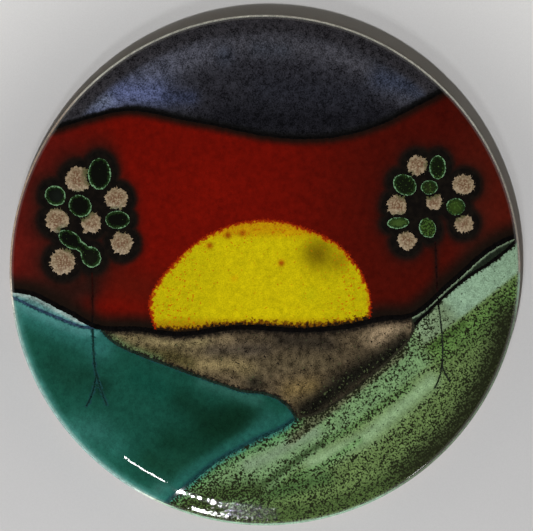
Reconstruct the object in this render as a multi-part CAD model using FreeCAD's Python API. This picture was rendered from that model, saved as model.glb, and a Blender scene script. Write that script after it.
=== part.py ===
import FreeCAD, Part
import math
import os
from FreeCAD import Vector

# A round glazed ceramic wall plaque, in millimetres.
# The frame's origin is the centre of the foot ring's resting plane. +Z comes out of
# the decorated face and +Y points to the top of the picture.
# The slab is turned, so every glaze coat is a shell turned about Z. Each coat is cut
# by upright walls into the pools, resist lines and dabs of the picture.

# ---------------------------------------------------------------- driving dimensions
PLAQUE_RADIUS = 125.0          # outermost radius, over the ground glaze
FOOT_HEIGHT = 5.5              # the slab's flat back stands this far off the wall
FOOT_OUTER_RADIUS = 86.0
FOOT_INNER_RADIUS = 78.0
FOOT_EDGE_ROUND = 1.5          # the two lower edges of the foot ring

DOME_RADIUS = 12000.0          # the face is almost flat
SHOULDER_RADIUS = 40.0         # the face rolls over towards the rim
SHOULDER_TURN = 26.0           # degrees the shoulder has turned where the rim begins
RIM_RADIUS = 2.6               # upper half of the rounded rim
UNDER_RIM_RADIUS = 1.5         # lower half of the rounded rim
GROUND_WRAP = 140.0            # degrees from straight up where the ground glaze stops

GROUND_GLAZE = 0.35            # thickness of the cream coat on the bare clay
POOL_GLAZE = 0.90              # thickness of a coloured pool over the ground glaze
LINE_GLAZE = 0.70              # a resist line is a little shallower than the pools beside it
BLOSSOM_GLAZE = 1.25           # dabs stand proud of the pools
LEAF_GLAZE = 1.10
HALO_WIDTH = 2.5               # a crown's dark ground reaches this far round its dabs
PICTURE_RADIUS = 124.0         # the picture stops here and leaves a cream rim

SKY_LINE_WIDTH = 1.2
HORIZON_LINE_WIDTH = 2.4
LEFT_SLIVER_LINE_WIDTH = 1.3
RIGHT_SLIVER_LINE_WIDTH = 1.6
SHORE_LINE_WIDTH = 1.2
VALLEY_LINE_WIDTH = 1.4
TRUNK_WIDTH = 0.9

WIRE_HOLE_RADIUS = 1.5         # two holes through the foot ring for a hanging wire
WIRE_HOLE_HEIGHT = 2.8
WIRE_HOLE_ANGLES = (74.0, 106.0)

CUTTER_HEIGHT = 30.0           # taller than the plaque, so an upright cutter goes right through
DRILL_PAST = 5.0               # a drill starts and ends this far outside the foot ring
AXIS_DIFFERENCE = 1e-4         # keeps the two half sizes of a round dab from being equal
TOLERANCE = 0.01               # how near counts as touching

# ------------------------------------------------------------- outlines of the picture
# Each line is the middle of a dark resist line. Points outside the picture's radius
# only carry the line past the rim.
SKY_LINE = [(-110, 66.4), (-100, 70.2), (-87, 74), (-71, 77.8), (-60, 77.8), (-43, 74.4),
            (-22, 70.5), (-3, 66.4), (20, 64.4), (36, 65.6), (50, 69.2), (61, 73.6),
            (70, 78.4), (80, 83.6), (95, 93)]
HORIZON_LINE = [(-131, -9.5), (-120, -10.2), (-112, -12), (-104, -16), (-95, -20.6),
                (-87, -25.4), (-79, -28.2), (-62, -28.6), (-46, -31), (-36, -30.8),
                (-20, -28.4), (-3, -28), (16, -29.2), (32, -28.4), (46, -26.2),
                (60, -23.2), (69, -22.6), (77, -18.6), (86, -10.3), (94, -3.2),
                (102, 4.2), (110, 10.6), (118, 14.9), (131, 19.6)]
LEFT_SLIVER_LINE = [(-131, -12.5), (-121, -14.2), (-114, -17.6), (-104, -21.8),
                    (-94, -26), (-88, -27.8), (-82, -27.6)]
RIGHT_SLIVER_LINE = [(72.3, -27.4), (75, -24.5), (80, -19.9), (85, -15), (90, -10.5),
                     (95, -6.3), (101, -1.8), (108, 2.4), (115, 7.4), (120.2, 11.8),
                     (124, 16.6)]
LEFT_SHORE_LINE = [(-80, -28), (-76, -33.2), (-66, -39.2), (-52, -44.6), (-36, -50.6),
                   (-22, -55.4), (-10, -59), (1, -60.4), (8, -63.6), (13, -68.6),
                   (15.5, -74)]
HILL_SHORE_LINE = [(14.5, -71.5), (27, -69), (38, -62), (48, -54.4), (58, -46),
                   (67, -37.4), (72, -29.5), (71, -22.5)]
VALLEY_LINE = [(15.2, -72), (7, -77.4), (-2, -81.4), (-13, -87), (-25, -94.2),
               (-36, -103.2), (-44, -110), (-52, -118.6)]
LEFT_TRUNK = [[(-84.4, 2), (-84, -12), (-84, -28), (-83.6, -38), (-82.2, -52)],
              [(-82.2, -50), (-83.6, -58), (-87, -66.5)],
              [(-82.2, -50), (-80, -58), (-77, -66)]]
RIGHT_TRUNK = [[(83, 16), (83.6, 0), (84.6, -16), (86.4, -32), (86.2, -47)],
               [(86.2, -45), (85.4, -51), (82.6, -57.5)],
               [(86.2, -45), (87.6, -50), (90.4, -54.5)]]

SUN = [(-50, -33), (-55.2, -23), (-56.2, -15.5), (-52.6, -7), (-45, 2.5), (-35, 12),
       (-23, 19), (-12, 23), (0, 24.2), (12, 22.6), (25, 18), (37, 11), (45, 1.5),
       (49.8, -8), (51.4, -16), (48, -30), (0, -36)]

# Dabs: centre x, centre y, half width, half height, tilt in degrees.
LEFT_BLOSSOMS = [(-91, 44.3, 6.6, 6.6, 0), (-72.3, 34.7, 6.0, 6.0, 0),
                 (-101.3, 24.3, 6.2, 6.2, 0), (-84.7, 23.1, 5.5, 5.5, 0),
                 (-69.6, 13.1, 6.0, 6.0, 0), (-98.4, 4.1, 6.6, 6.6, 0)]
LEFT_LEAVES = [(-80.6, 47, 5.9, 8.2, 0), (-102.2, 36.3, 5.5, 5.0, -30),
               (-90.2, 31.4, 6.1, 5.6, -40), (-71.9, 24.6, 6.4, 4.8, 0),
               (-95, 15, 6.6, 4.4, -35), (-89.6, 11.2, 5.2, 2.8, -40),
               (-84.8, 6.5, 5.6, 5.0, -45)]
RIGHT_BLOSSOMS = [(74.2, 51.1, 5.3, 5.3, 0), (96.9, 41.6, 5.7, 5.4, 0),
                  (64.6, 31.4, 5.2, 5.8, 0), (82.5, 33.6, 4.6, 5.0, 0),
                  (97, 22.7, 5.0, 5.0, 0), (69, 14.3, 5.0, 5.0, 0)]
RIGHT_LEAVES = [(84.2, 50.2, 4.4, 6.2, 0), (68.2, 41.6, 6.4, 5.2, -35),
                (80.2, 40.3, 4.5, 3.9, 0), (93, 30.9, 5.1, 4.8, 0),
                (65, 23.1, 5.8, 3.3, 5), (79.3, 20.7, 4.4, 5.3, 20)]

# A point inside each coloured pool. A trunk parts the green sliver in two.
POOL_SEEDS = {
    "sky_band_glaze": [(0, 95)],
    "red_sky_glaze": [(0, 45)],
    "sun_glaze": [(0, 0)],
    "hill_glaze": [(0, -45)],
    "teal_field_glaze": [(-60, -70)],
    "green_field_glaze": [(60, -80)],
    "teal_sliver_glaze": [(-104, -19)],
    "green_sliver_glaze": [(106, 4), (77, -20.9)],
}


# ------------------------------------------------------------------- flat outlines
def flat(point):
    return Vector(point[0], point[1], 0)


def smooth_edge(points):
    curve = Part.BSplineCurve()
    curve.interpolate([flat(point) for point in points])
    return curve.toShape()


def closed_outline(points):
    """The face inside a smooth closed curve through the points."""
    curve = Part.BSplineCurve()
    curve.interpolate(Points=[flat(point) for point in points], PeriodicFlag=True)
    return Part.Face(Part.Wire([curve.toShape()]))


def ribbon(points, width):
    """A strip of constant width along a smooth curve through the points."""
    centre = Part.BSplineCurve()
    centre.interpolate([flat(point) for point in points])
    start = centre.FirstParameter
    span = centre.LastParameter - start
    stations = 3 * len(points)
    left = []
    right = []
    for station in range(stations + 1):
        parameter = start + span * station / stations
        place = centre.value(parameter)
        along = centre.tangent(parameter)[0]
        aside = Vector(-along.y, along.x, 0) * (width / 2)
        left.append(place + aside)
        right.append(place - aside)
    right.reverse()
    sides = [smooth_edge(left), Part.makeLine(left[-1], right[0]),
             smooth_edge(right), Part.makeLine(right[-1], left[0])]
    return Part.Face(Part.Wire(sides))


def dab_outline(dab, margin=0.0):
    """An ellipse from a dab's centre, half sizes and tilt, grown all round by a margin."""
    x, y, half_width, half_height, tilt = dab
    turn = tilt
    if half_height > half_width:
        turn = tilt + 90
    longer = max(half_width, half_height) + margin + AXIS_DIFFERENCE
    shorter = min(half_width, half_height) + margin
    ellipse = Part.Ellipse(flat((0, 0)), longer, shorter)
    outline = Part.Wire([ellipse.toShape()])
    outline.rotate(Vector(0, 0, 0), Vector(0, 0, 1), turn)
    outline.translate(flat((x, y)))
    return Part.Face(outline)


def joined(faces):
    """Flat faces, merged into one wherever they touch."""
    groups = []
    for face in faces:
        touching = [face]
        apart = []
        for group in groups:
            gap = min(face.distToShape(other)[0] for other in group)
            if gap < TOLERANCE:
                touching += group
            else:
                apart.append(group)
        groups = apart + [touching]
    merged = []
    for first, *rest in groups:
        merged.append(first.multiFuse(rest).removeSplitter() if rest else first)
    return merged[0] if len(merged) == 1 else Part.makeCompound(merged)


# ------------------------------------------------------------------ turned profiles
class Skin:
    """The outside of the slab as tangent arcs, from the centre of the face to the back.

    Each arc has a centre, a radius and two angles from straight up, so that a coat's
    outside is the same arcs with larger radii.
    """

    def __init__(self):
        clay_radius = PLAQUE_RADIUS - GROUND_GLAZE
        turn = math.radians(SHOULDER_TURN)
        rim_centre = (clay_radius - RIM_RADIUS, FOOT_HEIGHT + UNDER_RIM_RADIUS)
        shoulder_centre = self.step(rim_centre, turn, RIM_RADIUS - SHOULDER_RADIUS)
        dome_turn = math.asin(shoulder_centre[0] / (DOME_RADIUS - SHOULDER_RADIUS))
        dome_centre = self.step(shoulder_centre, dome_turn, SHOULDER_RADIUS - DOME_RADIUS)
        under_centre = (clay_radius - UNDER_RIM_RADIUS, rim_centre[1])
        self.arcs = [
            (dome_centre, DOME_RADIUS, 0, dome_turn),
            (shoulder_centre, SHOULDER_RADIUS, dome_turn, turn),
            (rim_centre, RIM_RADIUS, turn, math.pi / 2),
            (under_centre, UNDER_RIM_RADIUS, math.pi / 2, math.pi),
        ]

    @staticmethod
    def step(point, angle, distance):
        return (point[0] + distance * math.sin(angle), point[1] + distance * math.cos(angle))

    def edges(self, offset, stop_angle):
        """The skin's arcs, moved outwards by offset and ended at stop_angle."""
        result = []
        for centre, radius, begin, end in self.arcs:
            if begin >= stop_angle:
                break
            end = min(end, stop_angle)
            three = []
            for angle in (begin, (begin + end) / 2, end):
                r, z = self.step(centre, angle, radius + offset)
                three.append(Vector(r, 0, z))
            result.append(Part.Arc(three[0], three[1], three[2]).toShape())
        return result

    def coat(self, inner, outer, stop_angle):
        """A turned shell between two offsets from the clay."""
        low = self.edges(inner, stop_angle)
        high = self.edges(outer, stop_angle)
        axis_side = Part.makeLine(low[0].firstVertex(True).Point, high[0].firstVertex(True).Point)
        open_side = Part.makeLine(high[-1].lastVertex(True).Point, low[-1].lastVertex(True).Point)
        return turned(low + high + [axis_side, open_side])


def turned(edges):
    wire = Part.Wire(Part.__sortEdges__(edges))
    solid = Part.Face(wire).revolve(Vector(0, 0, 0), Vector(0, 0, 1), 360)
    return solid


SKIN = Skin()


# ------------------------------------------------------------------------ sub-parts
def clay_body():
    """The slab: a thick disc with a flat back and a face that rolls over to the rim."""
    face = SKIN.edges(0, math.pi)
    back = face[-1].lastVertex(True).Point
    back_centre = Vector(0, 0, FOOT_HEIGHT)
    face_centre = face[0].firstVertex(True).Point
    return turned(face + [Part.makeLine(back, back_centre), Part.makeLine(back_centre, face_centre)])


def foot_ring():
    """A ring of clay on the back, pierced twice for a hanging wire."""
    ring = Part.makeCylinder(FOOT_OUTER_RADIUS, FOOT_HEIGHT)
    ring = ring.cut(Part.makeCylinder(FOOT_INNER_RADIUS, FOOT_HEIGHT))
    lower_edges = [edge for edge in ring.Edges
                   if edge.BoundBox.ZMax < TOLERANCE and edge.Closed]
    ring = ring.makeFillet(FOOT_EDGE_ROUND, lower_edges)
    drill_length = FOOT_OUTER_RADIUS - FOOT_INNER_RADIUS + 2 * DRILL_PAST
    for angle in WIRE_HOLE_ANGLES:
        outwards = Vector(math.cos(math.radians(angle)), math.sin(math.radians(angle)), 0)
        start = Vector(0, 0, WIRE_HOLE_HEIGHT) + outwards * (FOOT_INNER_RADIUS - DRILL_PAST)
        ring = ring.cut(Part.makeCylinder(WIRE_HOLE_RADIUS, drill_length, start, outwards))
    return ring


def ground_glaze():
    """The cream coat, over the face and round the rim."""
    return SKIN.coat(0, GROUND_GLAZE, math.radians(GROUND_WRAP))


def picture_coat(thickness):
    """A coat over the ground glaze, as wide as the picture."""
    coat = SKIN.coat(GROUND_GLAZE, GROUND_GLAZE + thickness, math.pi / 2)
    return coat.common(Part.makeCylinder(PICTURE_RADIUS, CUTTER_HEIGHT))


def stamped(coat, face):
    """The part of a coat that lies over a flat face, as one or more solids."""
    prism = face.extrude(Vector(0, 0, CUTTER_HEIGHT))
    solids = coat.common(prism).Solids
    if len(solids) == 1:
        return solids[0]
    return Part.makeCompound(solids)


def resist_lines(crowns):
    """Flat faces of the dark lines, where no line lies on another or on a crown."""
    lines = {
        "horizon_line": ribbon(HORIZON_LINE, HORIZON_LINE_WIDTH),
        "sky_line": ribbon(SKY_LINE, SKY_LINE_WIDTH),
        "left_shore_line": ribbon(LEFT_SHORE_LINE, SHORE_LINE_WIDTH),
        "hill_shore_line": ribbon(HILL_SHORE_LINE, SHORE_LINE_WIDTH),
        "valley_line": ribbon(VALLEY_LINE, VALLEY_LINE_WIDTH),
        "left_sliver_line": ribbon(LEFT_SLIVER_LINE, LEFT_SLIVER_LINE_WIDTH),
        "right_sliver_line": ribbon(RIGHT_SLIVER_LINE, RIGHT_SLIVER_LINE_WIDTH),
    }
    left_stems = [ribbon(points, TRUNK_WIDTH) for points in LEFT_TRUNK]
    right_stems = [ribbon(points, TRUNK_WIDTH) for points in RIGHT_TRUNK]
    lines["left_trunk"] = joined(left_stems).cut(crowns)
    lines["right_trunk"] = joined(right_stems).cut(crowns)
    done = []
    for name in lines:
        if done:
            lines[name] = lines[name].cut(done)
        done.append(lines[name])
    return lines


def crown_outline(dabs):
    """The flat face a crown covers: its dabs, each grown by the halo, with no gaps inside."""
    halos = joined([dab_outline(dab, HALO_WIDTH) for dab in dabs])
    return Part.Face(halos.Faces[0].OuterWire)


def crown_faces(outline, blossoms, leaves):
    """Flat faces of a crown's ground, blossoms and leaves. A leaf covers a blossom."""
    leaf_faces = joined([dab_outline(dab) for dab in leaves])
    blossom_faces = joined([dab_outline(dab) for dab in blossoms]).cut(leaf_faces)
    ground = outline.cut([leaf_faces, blossom_faces])
    return ground, blossom_faces, leaf_faces


def piece_around(pieces, seed):
    """The one face that a point lies on."""
    return next(piece for piece in pieces if piece.isInside(flat(seed), TOLERANCE, True))


def pool_faces(taken):
    """Flat faces of the coloured pools: what the lines and crowns leave of the picture."""
    sheet = Part.Face(Part.Wire([Part.makeCircle(PICTURE_RADIUS)]))
    pieces = sheet.cut(taken).Faces
    pools = {}
    for name, seeds in POOL_SEEDS.items():
        pools[name] = joined([piece_around(pieces, seed) for seed in seeds])
    sky = pools["red_sky_glaze"]
    sun = closed_outline(SUN)
    pools["sun_glaze"] = sky.common(sun)
    pools["red_sky_glaze"] = sky.cut(sun)
    return pools


def build():
    left_crown = crown_outline(LEFT_BLOSSOMS + LEFT_LEAVES)
    right_crown = crown_outline(RIGHT_BLOSSOMS + RIGHT_LEAVES)
    lines = resist_lines([left_crown, right_crown])
    pools = pool_faces(list(lines.values()) + [left_crown, right_crown])
    left = crown_faces(left_crown, LEFT_BLOSSOMS, LEFT_LEAVES)
    right = crown_faces(right_crown, RIGHT_BLOSSOMS, RIGHT_LEAVES)

    pool_coat = picture_coat(POOL_GLAZE)
    line_coat = picture_coat(LINE_GLAZE)
    blossom_coat = picture_coat(BLOSSOM_GLAZE)
    leaf_coat = picture_coat(LEAF_GLAZE)

    nodes = {"clay_body": clay_body(), "foot_ring": foot_ring(), "ground_glaze": ground_glaze()}
    for name, face in pools.items():
        nodes[name] = stamped(pool_coat, face)
    for name, face in lines.items():
        nodes[name] = stamped(line_coat, face)
    for side, (ground, blossoms, leaves) in (("left", left), ("right", right)):
        nodes[side + "_crown_ground"] = stamped(pool_coat, ground)
        nodes[side + "_blossoms"] = stamped(blossom_coat, blossoms)
        nodes[side + "_leaves"] = stamped(leaf_coat, leaves)
    return nodes


def main():
    os.makedirs("parts", exist_ok=True)
    for name, shape in build().items():
        shape.exportStep("parts/" + name + ".step")
        print(name, len(shape.Solids), "solids", round(shape.Volume, 1), "mm3", shape.isValid())


main()
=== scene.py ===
import math
from functools import cache

import bpy
import numpy as np
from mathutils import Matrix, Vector, kdtree, noise
from mathutils.geometry import delaunay_2d_cdt


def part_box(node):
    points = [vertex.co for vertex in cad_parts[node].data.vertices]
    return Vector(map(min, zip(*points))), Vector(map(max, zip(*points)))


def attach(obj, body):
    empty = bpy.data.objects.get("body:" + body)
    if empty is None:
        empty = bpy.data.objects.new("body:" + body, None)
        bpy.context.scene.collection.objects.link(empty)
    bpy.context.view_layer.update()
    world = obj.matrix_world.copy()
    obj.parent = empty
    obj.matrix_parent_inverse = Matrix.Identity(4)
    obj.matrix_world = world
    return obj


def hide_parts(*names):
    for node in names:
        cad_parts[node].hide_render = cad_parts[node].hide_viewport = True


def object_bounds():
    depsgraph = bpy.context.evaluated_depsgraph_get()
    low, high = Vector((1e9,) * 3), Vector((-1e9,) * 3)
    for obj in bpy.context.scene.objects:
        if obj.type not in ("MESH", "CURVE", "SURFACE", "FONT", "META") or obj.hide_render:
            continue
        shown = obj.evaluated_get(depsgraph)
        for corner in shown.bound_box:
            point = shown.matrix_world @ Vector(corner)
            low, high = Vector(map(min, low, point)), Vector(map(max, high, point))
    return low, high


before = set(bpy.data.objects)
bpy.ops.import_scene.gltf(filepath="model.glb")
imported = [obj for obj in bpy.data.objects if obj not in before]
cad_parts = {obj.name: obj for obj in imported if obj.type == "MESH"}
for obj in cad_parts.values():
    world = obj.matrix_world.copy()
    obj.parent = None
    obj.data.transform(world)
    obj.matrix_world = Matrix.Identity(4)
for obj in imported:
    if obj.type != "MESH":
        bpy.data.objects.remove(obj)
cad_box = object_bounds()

# A round glazed ceramic wall plaque, rebuilt for its looks around the CAD frame.
# The plaque's lengths are in millimetres in the frame's own axes: the picture's right is
# +X, its top is +Y and +Z comes out of the glazed face. A mesh is scaled to metres last.
# The stage's lengths, at the end of the file, are in metres.
MM = 0.001

# ------ driving sizes
PLAQUE_RADIUS = cad_box[1][0] / MM
FOOT_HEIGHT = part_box("clay_body")[0][2] / MM
GROUND_GLAZE = 0.35     # cream coat on the clay
POOL_GLAZE = 0.90       # a coloured pool in its middle, over the ground glaze
LINE_GLAZE = 0.70       # a resist line, over the ground glaze
BLOSSOM_GLAZE = 1.25    # a blossom in its middle, over the ground glaze
LEAF_GLAZE = 1.10       # a leaf in its middle, over the ground glaze
DAB_SINK = 0.04         # a dab's edge lies this far below the pools
DAB_BED = 0.20          # a dab's underside, over the ground glaze
COAT_OVERLAP = 0.02     # every coat reaches this far into the coat below
PICTURE_RADIUS = 124.0

DOME_RADIUS = 12000.0
SHOULDER_RADIUS = 40.0
SHOULDER_TURN = math.radians(26)
RIM_RADIUS = 2.6
UNDER_RIM_RADIUS = 1.5

EDGE_STEP = 0.5         # spacing of points along an outline
EDGE_ROWS = (0.4, 0.9, 1.6, 2.6)  # rows of points this far inside an outline
MIDDLE_STEP = 1.3       # spacing of points away from any outline
LINE_ROWS = (0.35,)     # the last two again, for a narrow resist line
LINE_MIDDLE_STEP = 0.7
DAB_EDGE_STEP = 0.22    # all three again, for a small frayed dab
DAB_ROWS = (0.3, 0.6, 1.0)
DAB_MIDDLE_STEP = 0.6
CELL = 0.3              # a row has one point at most in a cell of this size
ROW_SLACK = 0.93        # a row's point keeps this share of its depth from any outline
GRID_START = 0.45       # the grid starts this share of its spacing past the last row
GRID_PITCH = 0.866      # distance between its rows, as a share of its spacing
GAP_STEP = 0.4          # spacing of the outline points that distances are measured to
RIM_BAND = 0.3          # an outline this near the picture's edge is the rim
UPWARD = 0.4            # a CAD face whose normal rises this much is on top
CORNER_TURN = math.radians(25)  # an outline that turns more than this has a corner there

WANDER = 0.22           # how far a hand-trailed outline wanders, and how slowly
WANDER_SIZE = 5.0
TREMBLE = 0.35          # how far it trembles on top of that, and how slowly
TREMBLE_SIZE = 0.9
RIM_HOLD = 3.0          # both die away over this width at the rim
MENISCUS = 4.0          # a pool falls to its lines over this width
RIM_FADE = 1.2          # a pool thins out over this width at the rim
RIM_LEAST = 0.03        # share of its thickness that it keeps there
WAVES = 0.03            # height of the slow waves in a pool's surface
WAVE_SIZE = 9
SWELL_WIDTH = 4.0       # a dab rises to its middle over this width
SWELL_LUMPS = 0.3       # share by which the lumps on a dab change that rise
LUMP_SIZE = 1.6
FRAY_SIZE = 0.36        # width of the finest spikes along a dab's edge
BLOSSOM_FRAY = 1.3      # how far they reach
LEAF_FRAY = 0.25

SKIN_STEP = 0.8         # spacing of points along the turned section's arcs
LEAST_ARC_STEPS = 6
DOME_STEPS = 60
TURNED_STEPS = 360      # sides of a turned piece
SHARP_ANGLE = 50        # edges sharper than this stay sharp, in degrees
TURNED_SHARP_ANGLE = 40
FOOT_SHARP_ANGLE = 35
TINY = 1e-9

LINES = ("sky_line", "horizon_line", "left_sliver_line", "right_sliver_line",
         "left_shore_line", "hill_shore_line", "valley_line", "left_trunk", "right_trunk")
# the lines that the pools beside them fall to: the two pools run together over the valley's
SUNKEN_LINES = tuple(name for name in LINES if name != "valley_line")


# ------ the turned section
def step(point, angle, distance):
    """The (radius, height) at a distance from a point, an angle away from straight up."""
    return (point[0] + distance * math.sin(angle), point[1] + distance * math.cos(angle))


def section_arcs():
    """The clay's outside as arcs: centre, radius and the angles where each begins and ends."""
    clay_radius = PLAQUE_RADIUS - GROUND_GLAZE
    rim = (clay_radius - RIM_RADIUS, FOOT_HEIGHT + UNDER_RIM_RADIUS)
    shoulder = step(rim, SHOULDER_TURN, RIM_RADIUS - SHOULDER_RADIUS)
    dome_turn = math.asin(shoulder[0] / (DOME_RADIUS - SHOULDER_RADIUS))
    dome = step(shoulder, dome_turn, SHOULDER_RADIUS - DOME_RADIUS)
    under = (clay_radius - UNDER_RIM_RADIUS, rim[1])
    return [(dome, DOME_RADIUS, 0.0, dome_turn),
            (shoulder, SHOULDER_RADIUS, dome_turn, SHOULDER_TURN),
            (rim, RIM_RADIUS, SHOULDER_TURN, math.pi / 2),
            (under, UNDER_RIM_RADIUS, math.pi / 2, math.pi)]


SECTION = section_arcs()


def height_at(radius, offset):
    """Height of the face at a radius, on the skin that lies offset outside the clay."""
    height = np.zeros(np.broadcast(radius, offset).shape)
    for (centre_r, centre_z), arc_radius, begin, _ in SECTION[:3]:
        size = arc_radius + offset
        here = radius >= centre_r + size * math.sin(begin) - TINY
        reach = np.clip(size ** 2 - (radius - centre_r) ** 2, 0, None)
        height = np.where(here, centre_z + np.sqrt(reach), height)
    return height


# ------ outlines from the frame
def outer_edges(faces):
    """The edges that only one of some faces has, in that face's own direction."""
    found = set()
    for face in faces:
        for edge in zip(face, face[1:] + face[:1]):
            if (edge[1], edge[0]) in found:
                found.remove((edge[1], edge[0]))
            else:
                found.add(edge)
    return sorted(found)


def top_loops(node):
    """Outlines of a CAD node's upper surface, each a closed list of (x, y)."""
    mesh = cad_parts[node].data
    numbers = {}
    corner = []
    for vertex in mesh.vertices:
        key = tuple(round(value / MM * 1000) for value in vertex.co)
        corner.append(numbers.setdefault(key, len(numbers)))
    places = {number: (key[0] / 1000, key[1] / 1000) for key, number in numbers.items()}
    upper = [face for face in mesh.polygons if face.normal.z >= UPWARD]
    following = dict(outer_edges([[corner[v] for v in face.vertices] for face in upper]))
    loops = []
    while following:
        start = next(iter(following))
        loop = []
        here = start
        while here in following:
            loop.append(places[here])
            here = following.pop(here)
        loops.append(loop)
    return [loop for loop in loops if len(loop) > 3]


def loop_area(loop):
    """Area inside an outline, less than 0 for a hole."""
    points = np.array(loop)
    after = np.roll(points, -1, axis=0)
    return 0.5 * float(np.sum(points[:, 0] * after[:, 1] - points[:, 1] * after[:, 0]))


def respaced(loop, spacing):
    """The same outline with even points. Its sharp corners stay where they are."""
    points = [Vector(point) for point in loop]
    count = len(points)
    corners = []
    for index, point in enumerate(points):
        before = point - points[index - 1]
        after = points[(index + 1) % count] - point
        if before.length > 0 and after.length > 0 and before.angle(after) > CORNER_TURN:
            corners.append(index)
    if not corners:
        corners = [0]
    result = []
    for number, begin in enumerate(corners):
        end = corners[(number + 1) % len(corners)]
        span = [points[begin]]
        index = begin
        while True:
            index = (index + 1) % count
            span.append(points[index])
            if index == end:
                break
        lengths = [0.0]
        for first, second in zip(span, span[1:]):
            lengths.append(lengths[-1] + (second - first).length)
        pieces = max(1, round(lengths[-1] / spacing))
        stations = np.linspace(0, lengths[-1], pieces + 1)[:-1]
        xs = np.interp(stations, lengths, [point.x for point in span])
        ys = np.interp(stations, lengths, [point.y for point in span])
        result.extend(zip(xs, ys))
    return result


def smooth_noise(x, y, size, seed):
    """Noise from about -1 to 1 whose lumps are size across."""
    return np.array([noise.noise((a / size, b / size, seed)) for a, b in zip(x, y)])


def wavered(loop):
    """An outline with the wander and the tremble of a hand-trailed line. The rim stays round."""
    points = np.array(loop)
    x, y = points[:, 0], points[:, 1]
    hold = np.clip((PICTURE_RADIUS - np.hypot(x, y)) / RIM_HOLD, 0, 1)
    places = []
    for values, seed in ((x, 3.7), (y, 9.1)):
        wander = WANDER * smooth_noise(x, y, WANDER_SIZE, seed)
        wander += TREMBLE * smooth_noise(x, y, TREMBLE_SIZE, seed + 1)
        places.append(values + hold * wander)
    return list(zip(*places))


@cache
def outlines(node, spacing=EDGE_STEP):
    """A node's outlines, evenly spaced and wavered."""
    return [wavered(respaced(loop, spacing)) for loop in top_loops(node)]


def inward(points):
    """A unit vector at each point of an outline, to its left, where the glaze is."""
    along = np.roll(points, -1, axis=0) - np.roll(points, 1, axis=0)
    side = np.stack([-along[:, 1], along[:, 0]], axis=1)
    return side / np.maximum(np.linalg.norm(side, axis=1, keepdims=True), TINY)


def tree_of(points):
    tree = kdtree.KDTree(len(points))
    for index, (x, y) in enumerate(points):
        tree.insert((x, y, 0), index)
    tree.balance()
    return tree


def distances(tree, x, y):
    return np.array([tree.find((a, b, 0))[2] for a, b in zip(x, y)])


@cache
def outline_tree(*nodes):
    """A search tree over the outlines of some nodes, the rim left out."""
    points = []
    for node in nodes:
        for loop in outlines(node, GAP_STEP):
            points += [p for p in loop if math.hypot(*p) < PICTURE_RADIUS - RIM_BAND]
    return tree_of(points)


def gap_to(x, y, *nodes):
    """Distance from each point to the nearest outline of some nodes, the rim left out."""
    return distances(outline_tree(*nodes), x, y)


# ------ mesh building
def inside(points, loops):
    """Which points lie inside the loops, counting a loop in a loop as a hole."""
    x, y = points[:, 0], points[:, 1]
    odd = np.zeros(len(points), bool)
    for loop in loops:
        corners = np.array(loop)
        after = np.roll(corners, -1, axis=0)
        for (x1, y1), (x2, y2) in zip(corners, after):
            if y1 == y2:
                continue
            crosses = (y1 > y) != (y2 > y)
            odd ^= crosses & (x < (x2 - x1) * (y - y1) / (y2 - y1) + x1)
    return odd


def filled(loops, rows, spacing):
    """Triangles over the inside of some loops: rows of points along the outline, then a grid."""
    border = [point for loop in loops for point in loop]
    tree = tree_of(border)
    edges = []
    inwards = []
    start = 0
    for loop in loops:
        count = len(loop)
        inwards.append(inward(np.array(loop)))
        edges += [(start + number, start + (number + 1) % count) for number in range(count)]
        start += count
    inwards = np.concatenate(inwards)
    added = []
    used = set()
    for depth in rows:
        for (x, y), (side_x, side_y) in zip(border, inwards):
            place = (x + side_x * depth, y + side_y * depth)
            cell = (round(place[0] / CELL), round(place[1] / CELL))
            if cell in used or tree.find((place[0], place[1], 0))[2] < ROW_SLACK * depth:
                continue
            used.add(cell)
            added.append(place)
    low = np.min(border, axis=0)
    high = np.max(border, axis=0)
    grid = []
    for row, y in enumerate(np.arange(low[1], high[1], spacing * GRID_PITCH)):
        for x in np.arange(low[0] + (row % 2) * spacing / 2, high[0], spacing):
            grid.append((x, y))
    if grid:
        grid = np.array(grid)
        grid = grid[inside(grid, loops)]
        keep = distances(tree, grid[:, 0], grid[:, 1]) > rows[-1] + GRID_START * spacing
        added += [tuple(point) for point in grid[keep]]
    points = [Vector(point) for point in border + added]
    vertices, _, faces, _, _, _ = delaunay_2d_cdt(points, edges, [], 0, 1e-7)
    flat = np.array([(v.x, v.y) for v in vertices])
    faces = np.array([face for face in faces if len(face) == 3])
    faces = faces[inside(flat[faces].mean(axis=1), loops)]
    used_points, faces = np.unique(faces, return_inverse=True)
    return flat[used_points], faces.reshape(-1, 3)


def mesh_object(name, places, faces, sharp_angle=SHARP_ANGLE):
    """A smooth-shaded mesh object from places in millimetres."""
    mesh = bpy.data.meshes.new(name)
    mesh.from_pydata([tuple(place * MM) for place in places], [], faces)
    mesh.update()
    mesh.polygons.foreach_set("use_smooth", [True] * len(mesh.polygons))
    mesh.set_sharp_from_angle(angle=math.radians(sharp_angle))
    made = bpy.data.objects.new(name, mesh)
    bpy.context.scene.collection.objects.link(made)
    return made


def slab(name, flat, triangles, top, bottom):
    """A closed piece between a top and a bottom height over the same triangles."""
    count = len(flat)
    places = np.concatenate([np.column_stack([flat, top]), np.column_stack([flat, bottom])])
    faces = []
    for a, b, c in triangles.tolist():
        faces.append((a, b, c))
        faces.append((c + count, b + count, a + count))
    for a, b in outer_edges(triangles.tolist()):
        faces.append((b, a, a + count, b + count))
    return mesh_object(name, places, faces)


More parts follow.
